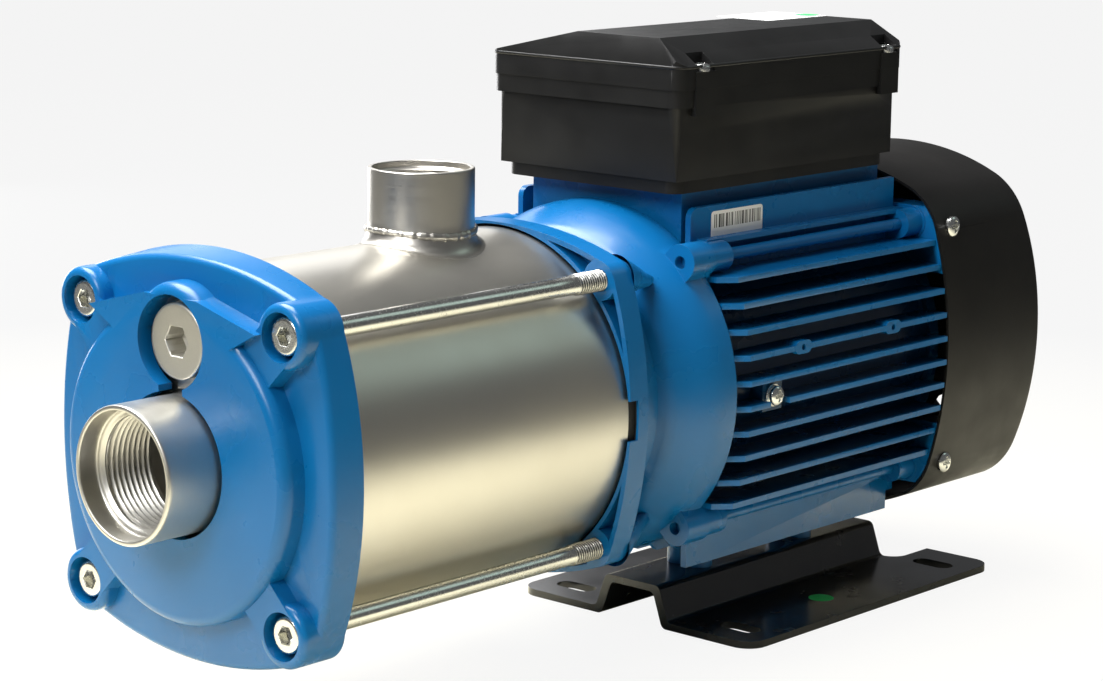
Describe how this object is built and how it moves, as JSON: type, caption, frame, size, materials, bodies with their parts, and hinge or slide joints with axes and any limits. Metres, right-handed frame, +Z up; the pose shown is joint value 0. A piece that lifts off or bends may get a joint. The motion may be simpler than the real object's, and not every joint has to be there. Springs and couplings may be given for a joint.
{
  "type": "centrifugal pump",
  "caption": "Horizontal multistage stainless centrifugal pump with close-coupled finned motor, terminal box, threaded suction and discharge ports and a slotted foot plate.",
  "frame": {"origin": "floor plane under the middle of the overall length, on the shaft's upright plane", "axes": "+X along the shaft from the suction port towards the fan, +Z up"},
  "size_m": [0.455, 0.1416, 0.2404],
  "materials": {
    "blue_paint": "glossy enamel",
    "casing_stainless": "satin, drawn sheet",
    "port_stainless": "turned, fine rings",
    "stainless": "satin",
    "zinc_plated": "bright zinc plate",
    "black_paint": "gloss black powder coat",
    "cover_black": "semi-gloss black paint",
    "box_plastic": "fine moulded grain",
    "gland_plastic": "moulded",
    "rubber": "matt",
    "carbon": "lapped carbon on rubber bellows",
    "seal_ceramic": "lapped",
    "bearing_steel": "ground and polished",
    "core_steel": "stacked laminations",
    "copper": "enamelled wire",
    "fan_plastic": "moulded",
    "block_plastic": "moulded",
    "capacitor_can": "moulded can"
  },
  "bodies": {
    "pump_frame": {"cable_gland": "gland_plastic", "capacitor": "capacitor_can", "casing_back_plate": "stainless", "casing_o_ring": "rubber", "discharge_port": "port_stainless", "earth_screw": "zinc_plated", "fan_cover": "cover_black", "fan_cover_screws": "zinc_plated", "fill_boss": "port_stainless", "foot_plate": "black_paint", "foot_screws": "zinc_plated", "front_bearing_outer_race": "bearing_steel", "front_bracket": "blue_paint", "inlet_guide": "stainless", "motor_bracket": "blue_paint", "motor_stud_nuts": "zinc_plated", "motor_studs": "blue_paint", "outlet_chamber": "stainless", "pump_casing": "casing_stainless", "rear_bearing_outer_race": "bearing_steel", "rear_end_shield": "blue_paint", "seal_seat": "seal_ceramic", "stage_chamber_1": "stainless", "stage_chamber_2": "stainless", "stage_chamber_3": "stainless", "stage_chamber_4": "stainless", "stator_core": "core_steel", "stator_housing": "blue_paint", "stator_windings": "copper", "suction_port": "port_stainless", "terminal_block": "block_plastic", "terminal_box_base": "box_plastic", "terminal_box_gasket": "rubber", "tie_bolts": "zinc_plated", "wave_washer": "stainless"},
    "rotor": {"pump_shaft": "stainless", "impeller_1": "stainless", "impeller_2": "stainless", "impeller_3": "stainless", "impeller_4": "stainless", "impeller_spacers": "stainless", "impeller_nut": "stainless", "seal_rotating_ring": "carbon", "water_slinger": "rubber", "rotor_core": "core_steel", "front_bearing_inner_race": "bearing_steel", "rear_bearing_inner_race": "bearing_steel", "fan": "fan_plastic", "fan_clip": "stainless"},
    "front_ball_set": {"front_bearing_balls": "bearing_steel"},
    "rear_ball_set": {"rear_bearing_balls": "bearing_steel"},
    "plug_travel": {"fill_plug_seal": "rubber"},
    "plug": {"fill_plug": "port_stainless"},
    "lid": {"terminal_box_lid": "box_plastic", "terminal_lid_screws": "zinc_plated"}
  },
  "joints": [
    {"name": "rotor_spin", "type": "hinge", "parent": "pump_frame", "child": "rotor", "pos_m": [-0.0557, 0, 0.1058], "axis": [1, 0, 0], "continuous": true},
    {"name": "front_cage_spin", "type": "hinge", "parent": "pump_frame", "child": "front_ball_set", "pos_m": [0.0073, 0, 0.1058], "axis": [1, 0, 0], "continuous": true},
    {"name": "rear_cage_spin", "type": "hinge", "parent": "pump_frame", "child": "rear_ball_set", "pos_m": [0.1643, 0, 0.1058], "axis": [1, 0, 0], "continuous": true},
    {"name": "plug_slide", "type": "slide", "parent": "pump_frame", "child": "plug_travel", "axis": [-1, 0, 0], "range_m": [0, 0.0109]},
    {"name": "plug_turn", "type": "hinge", "parent": "plug_travel", "child": "plug", "pos_m": [-0.2027, 0, 0.1481], "axis": [-1, 0, 0], "range_deg": [0, 2160]},
    {"name": "lid_lift", "type": "slide", "parent": "pump_frame", "child": "lid", "axis": [0, 0, 1], "range_m": [0, 0.06]}
  ],
  "couplings": [
    {"joint": "front_cage_spin", "follows": "rotor_spin", "ratio": 0.38217},
    {"joint": "rear_cage_spin", "follows": "rotor_spin", "ratio": 0.38217},
    {"joint": "plug_slide", "follows": "plug_turn", "m_per_rad": 0.00028871}
  ]
}
